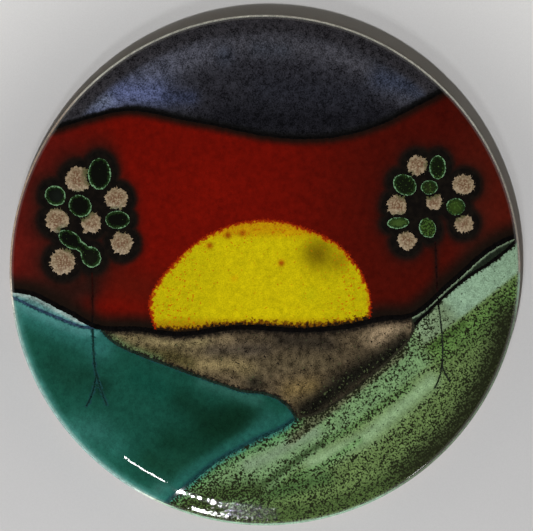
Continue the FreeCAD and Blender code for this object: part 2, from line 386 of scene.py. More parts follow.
def store(piece, values):
    """Keep numbers or screen colours per vertex under a name, for the materials to read."""
    for name, numbers in values.items():
        numbers = np.asarray(numbers, float)
        repeats = len(piece.data.vertices) // len(numbers)
        if numbers.ndim == 1:
            attribute = piece.data.attributes.new(name, "FLOAT", "POINT")
            attribute.data.foreach_set("value", np.tile(numbers, repeats))
        else:
            opaque = np.column_stack([seen(numbers), np.ones(len(numbers))])
            attribute = piece.data.attributes.new(name, "FLOAT_COLOR", "POINT")
            attribute.data.foreach_set("color", np.tile(opaque, (repeats, 1)).ravel())


def rounded(distance, width):
    """0 at an edge, then a quarter-round up to 1 at width from it."""
    share = np.clip(distance / width, 0, 1)
    return np.sqrt(1 - (1 - share) ** 2)


def eased(value, low, high):
    """0 below low, 1 above high and smooth between."""
    share = np.clip((value - low) / (high - low), 0, 1)
    return share * share * (3 - 2 * share)


def faded(value, low, high):
    """1 below low, 0 above high and smooth between."""
    return 1 - eased(value, low, high)


def hand_over(piece, node, material):
    """Put a finished piece in the frame in place of its CAD node."""
    piece.data.materials.append(material)
    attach(piece, "root")
    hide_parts(node)


# ------ colours by place
WHITE = 0.62            # how bright a white matt surface looks in this scene's light, 0 to 1
PALEST = 0.95           # no material colour is brighter than this
SPECK_COVER = 0.6       # share of their full darkness that specks add, once blurred
MOST_LIFT = 1.35        # the colour between specks is raised by this factor at most


def seen(colour):
    """The material colour that looks like a 0 to 255 screen colour in the scene's light."""
    value = np.clip(np.asarray(colour, float) / 255, 0, 1)
    linear = np.where(value <= 0.04045, value / 12.92, ((value + 0.055) / 1.055) ** 2.4)
    return np.minimum(linear / WHITE, PALEST)


def band(value, middle, width):
    """1 where a value is at the middle, falling off smoothly over width."""
    return np.exp(-((value - middle) / width) ** 2)


class Wash:
    """Screen colours over some points: a base colour, then touches laid over it."""

    def __init__(self, x, y, base):
        self.x = x
        self.y = y
        self.colour = np.tile(np.array(base, float), (len(x), 1))

    def lay(self, colour, share):
        """Cover each point with its own share of a colour."""
        share = np.clip(share, 0, 1)[:, None]
        self.colour += share * (np.array(colour, float) - self.colour)

    def spot(self, colour, centre, size, most=1.0):
        """Lay a colour in a soft round spot."""
        away = np.hypot(self.x - centre[0], self.y - centre[1])
        self.lay(colour, most * band(away, 0, size))

    def streak(self, colour, width, *path, most=1.0):
        """Lay a colour along a path of points."""
        away = np.full(len(self.x), np.inf)
        for start, end in zip(path, path[1:]):
            run_x = end[0] - start[0]
            run_y = end[1] - start[1]
            from_x = self.x - start[0]
            from_y = self.y - start[1]
            along = from_x * run_x + from_y * run_y
            share = np.clip(along / (run_x * run_x + run_y * run_y), 0, 1)
            reach = np.hypot(from_x - share * run_x, from_y - share * run_y)
            away = np.minimum(away, reach)
        self.lay(colour, most * band(away, 0, width))

    def around(self, specks, density):
        """The colour between dark specks that cover a share of the surface."""
        cover = (SPECK_COVER * density)[:, None]
        between = (self.colour - cover * np.array(specks, float)) / (1 - cover)
        return np.clip(between, 0, self.colour * MOST_LIFT)


# ------ material tools
class Paint:
    """A material's nodes, built with short calls. Lengths are in millimetres."""

    def __init__(self, name, roughness=0.03):
        self.material = bpy.data.materials.new(name)
        self.material.use_nodes = True
        self.tree = self.material.node_tree
        self.tree.nodes.clear()
        output = self.node("ShaderNodeOutputMaterial")
        self.shader = self.node("ShaderNodeBsdfPrincipled")
        self.tree.links.new(self.shader.outputs[0], output.inputs[0])
        self.place = self.node("ShaderNodeTexCoord").outputs["Object"]
        self.shader.inputs["Roughness"].default_value = roughness
        self.shader.inputs["IOR"].default_value = 1.5

    def node(self, kind, **settings):
        made = self.tree.nodes.new(kind)
        for key, value in settings.items():
            setattr(made, key, value)
        return made

    def put(self, socket, value):
        if isinstance(value, bpy.types.NodeSocket):
            self.tree.links.new(value, socket)
        elif isinstance(value, tuple) and socket.type == "RGBA":
            socket.default_value = (*seen(value), 1.0)
        else:
            socket.default_value = value

    def kept(self, name):
        return self.node("ShaderNodeAttribute", attribute_name=name).outputs["Fac"]

    def tint(self):
        """The screen colours kept with the piece."""
        return self.node("ShaderNodeAttribute", attribute_name="tint").outputs["Color"]

    def math(self, operation, *values):
        made = self.node("ShaderNodeMath", operation=operation)
        for socket, value in zip(made.inputs, values):
            self.put(socket, value)
        return made.outputs[0]

    def grain(self, size, strength=1.0, seed=0.0, detail=1.0, stretch=None):
        """Noise of about -strength/2 to strength/2, whose lumps are size across."""
        made = self.node("ShaderNodeTexNoise", noise_dimensions="4D")
        made.inputs["Scale"].default_value = 1 / (size * MM)
        made.inputs["Detail"].default_value = detail
        made.inputs["W"].default_value = seed
        place = self.place
        if stretch:
            angle, share = stretch
            turned = self.node("ShaderNodeMapping", vector_type="TEXTURE")
            turned.inputs["Rotation"].default_value = (0, 0, math.radians(angle))
            turned.inputs["Scale"].default_value = (share, 1, 1)
            self.put(turned.inputs["Vector"], place)
            place = turned.outputs[0]
        self.put(made.inputs["Vector"], place)
        return self.math("MULTIPLY", self.math("SUBTRACT", made.outputs["Fac"], 0.5), strength)

    def ragged(self, name, size, strength, seed, detail=2):
        """A kept distance with noise added, so that an edge drawn by it is ragged."""
        return self.math("ADD", self.kept(name), self.grain(size, strength, seed, detail))

    def specks(self, size, density, seed, soft=0.03):
        """1 on small specks that cover a share of the surface, 0 between them."""
        if isinstance(density, float):
            lift = (density - 0.5) * 0.45
        else:
            lift = self.math("MULTIPLY", self.math("SUBTRACT", density, 0.5), 0.45)
        lumps = self.math("ADD", self.grain(size, seed=seed, detail=2), lift)
        return self.rise(lumps, -soft, soft)

    def mottled(self, colour, fine, coarse, seed):
        """A colour made lighter and darker in grains under 1 mm and in patches of 2 to 3."""
        change = self.math("ADD", self.grain(0.6, fine, seed=seed, detail=2),
                           self.grain(2.6, coarse, seed=seed + 0.5, detail=2))
        made = self.node("ShaderNodeVectorMath", operation="SCALE")
        self.put(made.inputs[0], colour)
        self.put(made.inputs["Scale"], self.math("MAXIMUM", self.math("ADD", change, 1.0), 0.3))
        return made.outputs[0]

    def rise(self, value, low, high):
        """0 below low, 1 above high and smooth between, or the other way round."""
        made = self.node("ShaderNodeMapRange", interpolation_type="SMOOTHSTEP")
        if low > high:
            low, high = high, low
            made.inputs["To Min"].default_value = 1.0
            made.inputs["To Max"].default_value = 0.0
        made.inputs["From Min"].default_value = low
        made.inputs["From Max"].default_value = high
        self.put(made.inputs["Value"], value)
        return made.outputs[0]

    def mix(self, share, first, second):
        made = self.node("ShaderNodeMix", data_type="RGBA")
        self.put(made.inputs[0], share)
        self.put(made.inputs[6], first)
        self.put(made.inputs[7], second)
        return made.outputs[2]

    def cover(self, share, colour):
        """Lay a colour over the paint's own."""
        self.colour = self.mix(share, self.colour, colour)

    def finish(self, relief, depth):
        """The material, with its colour and a relief of about some depth."""
        self.put(self.shader.inputs["Base Color"], self.colour)
        bump = self.node("ShaderNodeBump")
        bump.inputs["Strength"].default_value = 1.0
        bump.inputs["Distance"].default_value = depth * MM
        self.put(bump.inputs["Height"], relief)
        self.put(self.shader.inputs["Normal"], bump.outputs[0])
        return self.material


# ------ materials
SPECK = (25, 28, 16)       # dark specks in the green glaze
BARK = (26, 22, 17)        # dark specks in the brown glaze


def fired_clay():
    paint = Paint("fired_clay", roughness=0.85)
    tone = paint.rise(paint.grain(9, seed=2, detail=3), -0.25, 0.25)
    paint.colour = paint.mix(tone, (150, 122, 96), (178, 150, 120))
    paint.cover(paint.specks(0.9, 0.15, 1), (100, 76, 56))
    relief = paint.grain(0.5, seed=3, detail=3)
    return paint.finish(relief, depth=0.12)


def cream_glaze():
    paint = Paint("cream_glaze", roughness=0.14)
    paint.colour = paint.mottled(paint.tint(), 1.2, 1.6, 4)
    paint.cover(paint.specks(0.8, 0.12, 5), (60, 52, 42))
    return paint.finish(paint.grain(3, seed=6), depth=0.05)


def slate_blue_glaze():
    paint = Paint("slate_blue_glaze")
    paint.colour = paint.mottled(paint.tint(), 4.0, 2.4, 7)
    edge = paint.ragged("gap", 0.9, 4.0, seed=8)
    paint.cover(paint.rise(edge, 1.2, 0.2), (9, 9, 9))
    return paint.finish(paint.grain(5, seed=9, detail=2), depth=0.08)


def red_glaze():
    paint = Paint("red_glaze")
    paint.colour = paint.mottled(paint.tint(), 0.5, 0.9, 10)
    fringe = paint.ragged("sun_gap", 1.0, 4.0, seed=11)
    paint.cover(paint.rise(fringe, 0.9, 0.1), (126, 30, 4))
    return paint.finish(paint.grain(6, seed=12, detail=2), depth=0.06)


def yellow_glaze():
    paint = Paint("yellow_glaze")
    paint.colour = paint.mottled(paint.tint(), 0.9, 0.6, 13)
    paint.cover(paint.specks(1.1, paint.kept("specks"), 14), (160, 96, 4))
    fringe = paint.ragged("sun_gap", 1.3, 8.0, seed=15, detail=3)
    paint.cover(paint.rise(fringe, 1.7, 0.9), (158, 98, 4))
    paint.cover(paint.rise(fringe, 0.9, 0.2), (128, 40, 4))
    burnt = paint.ragged("low_gap", 1.3, 9.0, seed=16, detail=3)
    paint.cover(paint.rise(burnt, 3.0, 1.6), (92, 56, 5))
    paint.cover(paint.rise(burnt, 1.4, 0.6), (26, 17, 8))
    return paint.finish(paint.grain(5, seed=17, detail=2), depth=0.06)


def brown_glaze():
    paint = Paint("brown_glaze")
    paint.colour = paint.mottled(paint.tint(), 3.4, 3.0, 18)
    paint.cover(paint.specks(1.1, paint.kept("specks"), 19), BARK)
    paint.cover(paint.specks(1.1, paint.kept("tufts"), 20), (58, 66, 42))
    edge = paint.ragged("gap", 1.2, 6.0, seed=21, detail=3)
    paint.cover(paint.rise(edge, 1.5, 0.2), (22, 19, 15))
    return paint.finish(paint.grain(4, seed=22, detail=2), depth=0.08)


def teal_glaze():
    paint = Paint("teal_glaze")
    paint.colour = paint.mottled(paint.tint(), 0.8, 0.9, 23)
    edge = paint.ragged("gap", 1.0, 3.0, seed=24)
    paint.cover(paint.rise(edge, 0.7, 0.0), (22, 56, 58))
    return paint.finish(paint.grain(6, seed=25, detail=2), depth=0.08)


def green_glaze():
    paint = Paint("green_glaze")
    paint.colour = paint.mottled(paint.tint(), 1.6, 0.9, 26)
    streaks = paint.grain(1.6, 0.9, seed=27, detail=3, stretch=(38, 3.0))
    density = paint.math("ADD", paint.kept("specks"), streaks)
    paint.cover(paint.specks(0.9, density, 28, soft=0.07), SPECK)
    edge = paint.ragged("gap", 1.2, 5.0, seed=29)
    paint.cover(paint.rise(edge, 0.8, 0.0), (30, 36, 24))
    pits = paint.math("MULTIPLY", paint.specks(1.3, 0.26, 48, soft=0.14), paint.kept("pits"))
    relief = paint.math("ADD", paint.grain(4, seed=30, detail=2), pits)
    return paint.finish(relief, depth=0.08)


def pale_blue_glaze():
    paint = Paint("pale_blue_glaze")
    paint.colour = paint.mottled(paint.tint(), 1.8, 2.6, 31)
    return paint.finish(paint.grain(3, seed=33, detail=2), depth=0.06)


def resist_line():
    paint = Paint("resist_line", roughness=0.1)
    paint.colour = paint.mottled(paint.tint(), 3.0, 2.0, 34)
    return paint.finish(paint.grain(2, seed=35, detail=2), depth=0.02)


def black_glaze():
    paint = Paint("black_glaze", roughness=0.1)
    mottle = paint.rise(paint.grain(3, seed=36, detail=3), -0.15, 0.3)
    paint.colour = paint.mix(mottle, (10, 8, 7), (20, 16, 12))
    return paint.finish(paint.grain(4, seed=37, detail=2), depth=0.05)


def blossom_glaze():
    paint = Paint("blossom_glaze", roughness=0.35)
    petal = paint.mix(paint.specks(0.9, 0.5, 38, soft=0.10), (106, 90, 68), (136, 120, 97))
    middle = paint.ragged("gap", 2.0, 5.0, seed=39)
    worn = paint.specks(1.0, 0.52, 40, soft=0.05)
    crease = paint.math("MULTIPLY", paint.rise(middle, 1.2, 2.8), worn)
    paint.colour = paint.mix(crease, petal, (92, 66, 46))
    leaf_side = paint.ragged("leaf_gap", 1.2, 5.0, seed=41)
    paint.cover(paint.rise(leaf_side, 3.0, 0.5), (66, 66, 38))
    return paint.finish(paint.grain(1.0, seed=42, detail=2), depth=0.05)


def leaf_glaze():
    paint = Paint("leaf_glaze", roughness=0.10)
    core = paint.ragged("gap", 0.9, 4.0, seed=43)
    paint.colour = paint.mix(paint.rise(core, 0.9, 2.0), (22, 40, 15), paint.tint())
    paint.cover(paint.specks(1.0, paint.kept("green"), 44), (52, 76, 30))
    rim = paint.ragged("gap", 0.9, 2.5, seed=49)
    paint.cover(paint.rise(rim, 0.85, 0.45), (98, 134, 98))
    return paint.finish(paint.grain(3, seed=45, detail=2), depth=0.05)


# ------ colours of each glaze
def sky_tones(x, y):
    radius = np.hypot(x, y)
    low = gap_to(x, y, "sky_line")
    wash = Wash(x, y, (33, 33, 38))
    wash.streak((17, 17, 21), 10, (-20, 73), (15, 73), (55, 73))
    wash.streak((27, 28, 34), 8, (0, 88), (45, 84), most=0.8)
    wash.lay((57, 57, 63), 0.95 * band(radius, 111, 6.5))
    wash.streak((46, 48, 55), 4, (-4, 108), (9, 107))
    wash.spot((44, 47, 56), (-20, 105), 5)
    wash.spot((37, 38, 43), (60, 104), 8)
    wash.streak((64, 65, 74), 7, (-60, 98), (-44, 102), (-32, 107))
    wash.streak((58, 63, 80), 11, (-90, 83), (-72, 89), (-52, 91), most=0.6)
    wash.streak((69, 76, 106), 6.5, (-84, 82), (-69, 86.5), (-54, 86))
    wash.streak((46, 53, 78), 4, (-48, 84), (-36, 84), most=0.6)
    wash.streak((82, 89, 108), 4.5, (-91, 80), (-78, 83))
    wash.spot((47, 43, 44), (-97, 75), 6)
    wash.streak((45, 50, 64), 6, (57, 93), (74, 89))
    wash.spot((52, 56, 69), (76, 87), 3.5)
    wash.spot((25, 21, 19), (84, 83), 3.5)
    wash.lay((41, 40, 44), eased(radius, 114, 119))
    wash.lay((12, 12, 13), faded(low, 0.3, 1.6 + 1.6 * eased(x, -76, -60)))
    return {"tint": wash.colour, "gap": low}


def red_tones(x, y):
    left = gap_to(x, y, "left_crown_ground")
    right = gap_to(x, y, "right_crown_ground")
    wash = Wash(x, y, (90, 9, 3))
    wash.spot((97, 10, 3), (-28, 40), 15)
    wash.lay((59, 9, 4), 0.98 * eased(x, -5, 66))
    wash.lay((68, 17, 9), eased(x, 84, 108))
    wash.lay((82, 16, 11), eased(-x, 78, 116))
    wash.streak((72, 12, 5), 10, (-68, -6), (-54, -10), (-46, -18))
    wash.streak((42, 15, 11), 7, (-118, -13), (-96, -12), (-86, -8))
    wash.lay((24, 12, 8), faded(gap_to(x, y, "sky_line"), 0.2, 4.5))
    wash.lay((19, 12, 8), faded(gap_to(x, y, "horizon_line"), 0.5, 9.5))
    wash.lay((22, 14, 10), 0.97 * np.exp(-left / (5.8 - 4.2 * eased(x, -80, -64))))
    wash.lay((15, 12, 10), 0.8 * faded(np.minimum(left, right), 0, 3))
    wash.lay((20, 13, 10), 0.97 * np.exp(-right / 2.6))
    trunks = gap_to(x, y, "left_trunk", "right_trunk")
    wash.lay((20, 12, 8), 0.6 * np.exp(-trunks / 1.2))
    return {"tint": wash.colour, "sun_gap": gap_to(x, y, "sun_glaze")}


def sun_tones(x, y):
    wash = Wash(x, y, (169, 155, 5))
    wash.lay((162, 150, 5), eased(abs(x), 18, 36))
    wash.lay((163, 124, 4), eased(y, 14, 20))
    wash.spot((100, 84, 3), (26, 8), 7.5)
    wash.spot((126, 109, 4), (36, 4), 4.5)
    wash.spot((160, 152, 6), (22, -12), 4)
    wash.spot((128, 40, 4), (8, 3.5), 1.3)
    wash.spot((174, 138, 4), (-15, -4), 1.3)
    wash.spot((120, 40, 4), (-18, 17), 1.4)
    wash.spot((120, 40, 4), (-11, 18), 1.3)
    wash.spot((126, 50, 4), (-27, 12), 1.4)
    wash.lay((140, 112, 5), faded(y, -27, -22))
    specks = 0.07 + 0.22 * eased(y, 8, 20) + 0.18 * eased(abs(x), 26, 40)
    return {"tint": wash.colour, "specks": specks, "sun_gap": gap_to(x, y, "red_sky_glaze"),
            "low_gap": gap_to(x, y, "horizon_line")}


def hill_tones(x, y):
    wash = Wash(x, y, (64, 55, 41))
    wash.streak((102, 92, 64), 5, (-78, -33), (-62, -31), (-45, -34), (-30, -34))
    wash.streak((62, 56, 33), 4, (-72, -38), (-60, -41), (-45, -42), (-35, -46))
    wash.spot((104, 91, 67), (-20, -35), 4.5)
    wash.streak((51, 45, 38), 4, (-26, -40), (0, -39), most=0.8)
    wash.streak((94, 83, 57), 4.5, (-30, -46), (-15, -46), (-6, -49))
    wash.spot((34, 31, 24), (-5, -55), 4.5)
    wash.streak((37, 32, 25), 5, (8, -34), (30, -36))
    wash.streak((64, 56, 41), 5, (0, -46), (30, -45))
    wash.streak((114, 99, 78), 6, (55, -33), (66, -27))
    wash.streak((90, 76, 48), 5.5, (13, -59), (23, -57))
    wash.spot((80, 68, 47), (14, -64), 3)
    wash.lay((40, 33, 26), 0.8 * faded(gap_to(x, y, "horizon_line"), 0.5, 3.5))
    valley = [(20, -69), (33, -59.5), (41, -53), (50, -47.5), (60, -42), (68, -36)]
    wash.streak((60, 76, 50), 2.5, (-76, -33), (-66, -39), (-52, -44))
    wash.streak((16, 15, 11), 6, *valley)
    specks = np.full(len(x), 0.16)
    dark = Wash(x, y, (0.0, 0.0, 0.0))
    dark.streak((1.0, 1.0, 1.0), 5, *valley)
    tufts = 0.04 + 0.20 * dark.colour[:, 0]
    return {"tint": wash.around(BARK, specks), "specks": specks, "tufts": tufts,
            "gap": gap_to(x, y, "horizon_line", "left_shore_line")}


def teal_tones(x, y):
    radius = np.hypot(x, y)
    sliver = gap_to(x, y, "left_sliver_line")
    valley = gap_to(x, y, "valley_line")
    wash = Wash(x, y, (19, 66, 54))
    wash.streak((16, 56, 44), 6, (-103, -46), (-95, -54), (-88, -51))
    wash.spot((12, 42, 32), (-80, -57), 4.5)
    wash.streak((15, 64, 52), 6, (-62, -52), (-48, -60))
    wash.streak((12, 47, 35), 7, (-40, -64), (-28, -72), (-8, -71))
    wash.streak((8, 36, 23), 10, (-26, -79), (-12, -74))
    wash.streak((12, 48, 35), 8, (-46, -84), (-26, -88))
    wash.streak((16, 55, 41), 5.5, (-56, -93), (-46, -97), (-39, -94))
    wash.streak((35, 86, 77), 8, (-92, -78), (-82, -79))
    wash.spot((30, 82, 72), (-73, -86), 7)
    wash.spot((40, 96, 90), (-80, -37), 7)
    wash.streak((34, 88, 80), 3, (-110, -58), (-107, -66))
    wash.streak((28, 76, 67), 5, (-38, -101), (-22, -93), (-12, -86), (2, -72))
    wash.streak((36, 82, 72), 4, (-30, -54), (-16, -59), (-4, -63))
    wash.streak((44, 88, 80), 5, (-50, -108), (-42, -112))
    wash.lay((35, 90, 83), faded(sliver, 4, 14))
    wash.lay((62, 117, 113), faded(sliver, 1.5, 6))
    wash.lay((60, 114, 107), 0.9 * eased(radius, 119.5, 123.5))
    wash.lay((104, 140, 134), 0.8 * eased(radius, 122.4, 124))
    wash.lay((30, 84, 76), 0.7 * faded(valley, 2.5, 7))
    wash.lay((19, 60, 60), 0.8 * faded(valley, 0, 1.6))
    return {"tint": 0.93 * wash.colour, "gap": gap_to(x, y, *LINES)}


def green_tones(x, y):
    along = 0.788 * x + 0.616 * y
    across = 0.788 * y - 0.616 * x
    radius = np.hypot(x, y)
    turn = np.degrees(np.arctan2(y, x))
    valley = gap_to(x, y, "valley_line")
    hill_side = eased(across, -76.5, -74) * eased(x, 8, 16) * faded(x, 66, 72)
    wash = Wash(x, y, (70, 86, 50))
    wash.lay((67, 91, 47), band(across, -84, 5) * eased(along, 34, 44))
    wash.streak((52, 72, 40), 4.5, (-4, -110), (9, -107), (29, -101))
    wash.lay((82, 105, 71), eased(across, -88, -84) * faded(along, 32, 42))
    wash.streak((110, 134, 99), 4.5, (23, -94), (50, -81), (73, -61), (81, -54))
    wash.streak((99, 119, 93), 3.6, (-8, -95), (2, -91), (15, -83.5), (24, -79))
    wash.streak((68, 105, 70), 3, (-4, -84), (8, -80))
    wash.streak((42, 57, 32), 1.7, (0, -104), (19, -90), (30, -83), most=0.9)
    wash.streak((66, 90, 52), 1.8, (30, -83), (42, -77), (60, -64), (70, -57), most=0.8)
    wash.streak((66, 92, 54), 1.8, (14, -101), (29, -95), (46, -83), most=0.8)
    wash.lay((88, 104, 78), eased(across, -78, -76) * eased(along, 34, 42))
    wash.lay((111, 136, 113), eased(across, -78, -76) * eased(along, 55, 64))
    wash.streak((45, 64, 28), 1.8, (81, -38), (97, -26), most=0.8)
    wash.streak((60, 78, 42), 4, (96, -37), (106, -31), (114, -24), most=0.7)
    wash.lay((62, 65, 47), 0.9 * hill_side)
    wash.streak((46, 60, 32), 6, (-36, -114), (-20, -109), (-4, -108))
    wash.lay((50, 64, 34), eased(radius, 112, 119) * eased(-turn, 44, 54))
    dark_rim = eased(radius, 108, 122) * eased(turn, -66, -48) * eased(-turn, 4, 12)
    wash.lay((30, 34, 20), 0.9 * dark_rim)
    wash.lay((62, 92, 57), 0.8 * faded(valley, 2.5, 6))
    wash.lay((44, 84, 70), faded(valley, 0.6, 2.6))
    wash.lay((92, 118, 96), 0.6 * eased(radius, 123.2, 124) * (1 - dark_rim))
    pale = eased(wash.colour[:, 0], 76, 98)
    low_left = eased(radius, 100, 114) * faded(x, -12, 12)
    specks = 0.45 - 0.35 * pale + 0.15 * hill_side + 0.2 * dark_rim + 0.15 * low_left
    specks += 0.25 * band(np.hypot(x - 76, y + 27), 0, 7)
    pits = eased(radius, 113, 117) * eased(x, -30, -22) * faded(x, 4, 14)
    return {"tint": wash.around(SPECK, specks), "specks": specks, "pits": pits,
            "gap": gap_to(x, y, "right_sliver_line", "horizon_line")}


def green_sliver_tones(x, y):
    wash = Wash(x, y, (22, 29, 21))
    wash.lay((104, 122, 98), faded(gap_to(x, y, "horizon_line"), 0.3, 1.1))
    specks = np.full(len(x), 0.2)
    return {"tint": wash.colour, "specks": specks, "pits": np.zeros(len(x)),
            "gap": np.full(len(x), 3.0)}


def pale_sliver_tones(x, y):
    wash = Wash(x, y, (74, 112, 110))
    wash.lay((120, 140, 136), faded(gap_to(x, y, "horizon_line"), 0.9, 2.4))
    wash.lay((62, 100, 104), faded(gap_to(x, y, "left_sliver_line"), 0.2, 1.0))
    return {"tint": wash.colour}


LINE_COLOURS = {"valley_line": (18, 48, 48), "left_sliver_line": (34, 52, 68),
                "left_shore_line": (22, 34, 27), "hill_shore_line": (32, 31, 23)}


def line_tones(node, x, y):
    """A line is near black on the red and takes the colour of the other glazes it crosses."""
    wash = Wash(x, y, LINE_COLOURS.get(node, (6, 5, 5)))
    if node == "left_trunk":
        wash.lay((30, 7, 5), eased(y, -24, -20))
        wash.lay((14, 38, 34), faded(y, -30, -26))
    elif node == "right_trunk":
        wash.lay((22, 7, 6), eased(y, -14, -10))
        wash.lay((26, 32, 24), faded(y, -20, -16))
    return wash.colour


# ------ flat coats
def coat(x, y):
    """Thickness of the coloured coat: full in the middle, lower at the lines and the rim."""
    share = np.clip(gap_to(x, y, *SUNKEN_LINES) / MENISCUS, 0, 1)
    thick = LINE_GLAZE + (POOL_GLAZE - LINE_GLAZE) * (1 - (1 - share) ** 2)
    thick += WAVES * smooth_noise(x, y, WAVE_SIZE, 5.3) * share
    rim = rounded(PICTURE_RADIUS - np.hypot(x, y), RIM_FADE)
    return thick * (RIM_LEAST + (1 - RIM_LEAST) * rim)


def flat_coat(name, loops, rows, spacing):
    """A coat of glaze over the inside of some loops, and the places of its points."""
    flat, triangles = filled(loops, rows, spacing)
    x, y = flat[:, 0], flat[:, 1]
    radius = np.hypot(x, y)
    top = height_at(radius, GROUND_GLAZE + coat(x, y))
    bottom = height_at(radius, GROUND_GLAZE) - COAT_OVERLAP
    return slab(name, flat, triangles, top, bottom), x, y


def pool(name, node, material, tones):
    """A puddle of glaze between the lines."""
    made, x, y = flat_coat(name, outlines(node), EDGE_ROWS, MIDDLE_STEP)
    store(made, tones(x, y))
    hand_over(made, node, material)


def line(name, node, material):
    """A trailed resist line. It lies level with the pools beside it."""
    made, x, y = flat_coat(name, outlines(node), LINE_ROWS, LINE_MIDDLE_STEP)
    store(made, {"tint": line_tones(node, x, y)})
    hand_over(made, node, material)


def crown(name, node, material):
    """A crown's dark ground, without holes: the dabs sit on it."""
    whole = max(outlines(node), key=loop_area)
    made, _, _ = flat_coat(name, [whole], EDGE_ROWS, MIDDLE_STEP)
    hand_over(made, node, material)


# ------ dabs
def frayed(loop, amount):
    """An outline with small spikes of glaze pulled out along it."""
    points = np.array(loop)
    reach = amount * smooth_noise(points[:, 0], points[:, 1], FRAY_SIZE, 4.4)
    reach += 0.5 * amount * smooth_noise(points[:, 0], points[:, 1], FRAY_SIZE * 3, 7.7)
    return [tuple(point) for point in points - inward(points) * reach[:, None]]


def dabs(name, node, material, middle, fray, tones):
    """Rounded dabs of glaze with frayed edges, domed up from the crown's ground."""
    loops = [frayed(respaced(loop, DAB_EDGE_STEP), fray) for loop in top_loops(node)]
    flat, triangles = filled(loops, DAB_ROWS, DAB_MIDDLE_STEP)
    x, y = flat[:, 0], flat[:, 1]
    gap = distances(tree_of([point for loop in loops for point in loop]), x, y)
    radius = np.hypot(x, y)
    share = np.clip(gap / SWELL_WIDTH, 0, 1)
    lumps = 1 + SWELL_LUMPS * smooth_noise(x, y, LUMP_SIZE, 2.9)
    swell = (1 - (1 - share) ** 2) * lumps
    thick = POOL_GLAZE - DAB_SINK + (middle - POOL_GLAZE) * swell
    top = height_at(radius, GROUND_GLAZE + thick)
    bottom = height_at(radius, GROUND_GLAZE + DAB_BED)
    made = slab(name, flat, triangles, top, bottom)
    store(made, {"gap": gap, **tones(x, y)})
    hand_over(made, node, material)


def blossom_tones(leaves):
    """Which distance the blossoms keep."""
    return lambda x, y: {"leaf_gap": gap_to(x, y, leaves)}


def left_leaf_tones(x, y):
    wash = Wash(x, y, (8, 9, 6))
    wash.spot((16, 20, 16), (-101, 36), 4)
    wash.spot((15, 17, 10), (-85, 6), 4)
    return {"tint": wash.colour, "green": np.full(len(x), 0.05)}


def right_leaf_tones(x, y):
    wash = Wash(x, y, (13, 18, 8))
    wash.spot((40, 58, 20), (93, 31), 6)
    wash.spot((50, 70, 30), (65, 23), 6)
    wash.spot((28, 40, 14), (79, 20), 5)
    wash.spot((28, 36, 15), (80, 40), 4)
    return {"tint": wash.colour, "green": 0.1 + 0.4 * band(np.hypot(x - 80, y - 25), 0, 16)}


# ------ turned pieces
def ring_mesh(name, profile):
    """A closed turned piece from a profile of (radius, height) that begins on the axis."""
    angles = 2 * math.pi * np.arange(TURNED_STEPS) / TURNED_STEPS
    places = []
    rings = []
    for radius, height in profile:
        first = len(places)
        if radius < TINY:
            places.append((0, 0, height))
        else:
            places.extend((radius * math.cos(a), radius * math.sin(a), height) for a in angles)
        rings.append(range(first, len(places)))
    faces = []
    for inner, outer in zip(rings, rings[1:]):
        for here in range(TURNED_STEPS):
            after = (here + 1) % TURNED_STEPS
            if len(inner) == 1:
                faces.append((inner[0], outer[here], outer[after]))
            elif len(outer) == 1:
                faces.append((inner[here], outer[0], inner[after]))
            else:
                faces.append((inner[here], outer[here], outer[after], inner[after]))
    return mesh_object(name, np.array(places), faces, TURNED_SHARP_ANGLE)


def skin_profile(offset, stop_angle):
    """Points along the outside of the slab, from the axis to an angle on the rim."""
    profile = [(0.0, float(height_at(0.0, offset)))]
    for centre, radius, begin, end in SECTION:
        end = min(end, stop_angle)
        if begin >= end:
            continue
        size = radius + offset
        count = max(LEAST_ARC_STEPS, round(size * (end - begin) / SKIN_STEP))
        if radius == DOME_RADIUS:
            count = DOME_STEPS
        for number in range(1, count + 1):
            profile.append(step(centre, begin + (end - begin) * number / count, size))
    return profile


def build_clay_body(material):
    """The slab, with the fine grooves of turning on its back."""
    groove_depth = 0.16
    groove_pitch = 2.6
    groove_fade = 2.0              # the grooves stop this far from the foot ring
    foot_inside = 77.0
    foot_outside = 87.5
    spacing = 0.4
    profile = skin_profile(0, math.pi)
    for radius in np.arange(profile[-1][0] - spacing, 0.3, -spacing):
        away = min(abs(radius - foot_inside), abs(radius - foot_outside))
        on_foot = foot_inside < radius < foot_outside
        depth = 0 if on_foot else groove_depth * min(1, away / groove_fade)
        turns = radius / groove_pitch + 0.4 * math.sin(radius / 7)
        groove = 0.5 - 0.5 * math.cos(2 * math.pi * turns)
        profile.append((float(radius), FOOT_HEIGHT + depth * groove))
    profile.append((0.0, FOOT_HEIGHT))
    hand_over(ring_mesh("slab_body", profile), "clay_body", material)


def ground_tones(x, y):
    """The cream coat takes some colour from the pools that end beside it at the rim."""
    turn = np.degrees(np.arctan2(y, x)) % 360
    wash = Wash(x, y, (190, 192, 182))
    wash.lay((140, 120, 102), eased(turn, 130, 150) * faded(turn, 178, 188))
    wash.lay((112, 142, 138), eased(turn, 186, 196) * faded(turn, 235, 245))
    wash.lay((112, 140, 120), eased(turn, 240, 250))
    wash.lay((76, 92, 72), eased(turn, 295, 306) * faded(turn, 348, 356))
    wash.lay((132, 124, 112), faded(turn, 10, 40))
    return {"tint": wash.colour}


def build_ground_glaze(material):
    """The cream coat: over the face, round the rim and a little way underneath."""
    stop = math.radians(140)
    under = skin_profile(0.0, stop)
    under.reverse()
    made = ring_mesh("ground_coat", skin_profile(GROUND_GLAZE, stop) + under)
    places = np.array([vertex.co for vertex in made.data.vertices]) / MM
    store(made, ground_tones(places[:, 0], places[:, 1]))
    hand_over(made, "ground_glaze", material)


